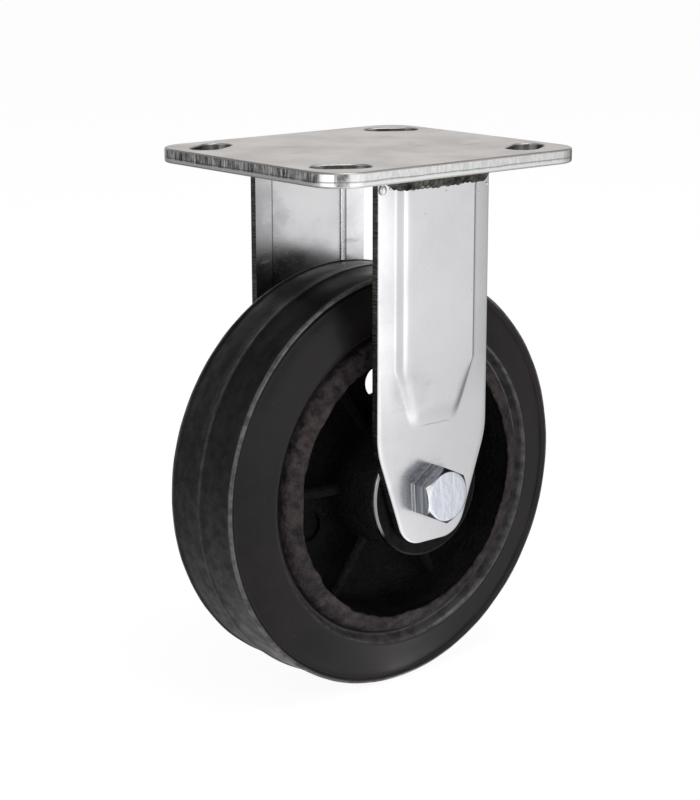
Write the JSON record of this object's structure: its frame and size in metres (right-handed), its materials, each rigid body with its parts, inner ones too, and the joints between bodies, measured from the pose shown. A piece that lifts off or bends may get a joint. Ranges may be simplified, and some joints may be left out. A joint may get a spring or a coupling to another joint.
{
  "type": "fixed castor",
  "caption": "Rigid plate castor: a slotted top plate, two pressed steel legs and a rubber-tyred iron wheel on a roller bearing.",
  "frame": {"origin": "centre of the top plate's upper face, which bolts against what the castor carries", "axes": "+Z is the plate's outward normal, X is the way the castor rolls, and Y is along the axle, with the bolt's head on the -Y side"},
  "size_m": [0.1524, 0.1057, 0.1944],
  "materials": {
    "plate_zinc": "zinc plated, satin, slightly mottled",
    "leg_zinc": "bright zinc plate",
    "weld": "plated weld bead, dull and rippled",
    "fastener_zinc": "bright zinc plate",
    "nylon": "natural nylon",
    "bearing_steel": "ground and lightly oiled",
    "cast_iron": "as cast, coarse, painted black",
    "rubber": "matte moulded rubber",
    "nipple_steel": "yellowish zinc plate",
    "cage_steel": "pressed steel, oiled"
  },
  "bodies": {
    "bracket": {"top_plate": "plate_zinc", "front_leg": "leg_zinc", "rear_leg": "leg_zinc", "front_weld": "weld", "rear_weld": "weld", "axle_bolt": "fastener_zinc", "nut_washer": "fastener_zinc", "lock_nut": "fastener_zinc", "nylon_ring": "nylon", "spacer_tube": "bearing_steel", "front_thrust_washer": "fastener_zinc", "rear_thrust_washer": "fastener_zinc"},
    "wheel": {"wheel_core": "cast_iron", "tyre": "rubber", "grease_nipple": "nipple_steel"},
    "cage": {"roller_cage": "cage_steel"},
    "roller_1_body": {"roller_1": "bearing_steel"},
    "roller_2_body": {"roller_2": "bearing_steel"},
    "roller_3_body": {"roller_3": "bearing_steel"},
    "roller_4_body": {"roller_4": "bearing_steel"},
    "roller_5_body": {"roller_5": "bearing_steel"},
    "roller_6_body": {"roller_6": "bearing_steel"},
    "roller_7_body": {"roller_7": "bearing_steel"},
    "roller_8_body": {"roller_8": "bearing_steel"}
  },
  "joints": [
    {"name": "wheel_spin", "type": "hinge", "parent": "bracket", "child": "wheel", "pos_m": [0, 0, -0.1182], "axis": [0, 1, 0], "continuous": true},
    {"name": "cage_spin", "type": "hinge", "parent": "bracket", "child": "cage", "pos_m": [0, 0, -0.1182], "axis": [0, 1, 0], "continuous": true},
    {"name": "roller_1_spin", "type": "hinge", "parent": "cage", "child": "roller_1_body", "pos_m": [0, 0, -0.1059], "axis": [0, 1, 0], "continuous": true},
    {"name": "roller_2_spin", "type": "hinge", "parent": "cage", "child": "roller_2_body", "pos_m": [0.0087, 0, -0.1095], "axis": [0, 1, 0], "continuous": true},
    {"name": "roller_3_spin", "type": "hinge", "parent": "cage", "child": "roller_3_body", "pos_m": [0.0123, 0, -0.1182], "axis": [0, 1, 0], "continuous": true},
    {"name": "roller_4_spin", "type": "hinge", "parent": "cage", "child": "roller_4_body", "pos_m": [0.0087, 0, -0.1269], "axis": [0, 1, 0], "continuous": true},
    {"name": "roller_5_spin", "type": "hinge", "parent": "cage", "child": "roller_5_body", "pos_m": [0, 0, -0.1305], "axis": [0, 1, 0], "continuous": true},
    {"name": "roller_6_spin", "type": "hinge", "parent": "cage", "child": "roller_6_body", "pos_m": [-0.0087, 0, -0.1269], "axis": [0, 1, 0], "continuous": true},
    {"name": "roller_7_spin", "type": "hinge", "parent": "cage", "child": "roller_7_body", "pos_m": [-0.0123, 0, -0.1182], "axis": [0, 1, 0], "continuous": true},
    {"name": "roller_8_spin", "type": "hinge", "parent": "cage", "child": "roller_8_body", "pos_m": [-0.0087, 0, -0.1095], "axis": [0, 1, 0], "continuous": true}
  ],
  "couplings": [
    {"joint": "cage_spin", "follows": "wheel_spin", "ratio": 0.61382},
    {"joint": "roller_1_spin", "follows": "wheel_spin", "ratio": 2.1052},
    {"joint": "roller_2_spin", "follows": "wheel_spin", "ratio": 2.1052},
    {"joint": "roller_3_spin", "follows": "wheel_spin", "ratio": 2.1052},
    {"joint": "roller_4_spin", "follows": "wheel_spin", "ratio": 2.1052},
    {"joint": "roller_5_spin", "follows": "wheel_spin", "ratio": 2.1052},
    {"joint": "roller_6_spin", "follows": "wheel_spin", "ratio": 2.1052},
    {"joint": "roller_7_spin", "follows": "wheel_spin", "ratio": 2.1052},
    {"joint": "roller_8_spin", "follows": "wheel_spin", "ratio": 2.1052}
  ]
}
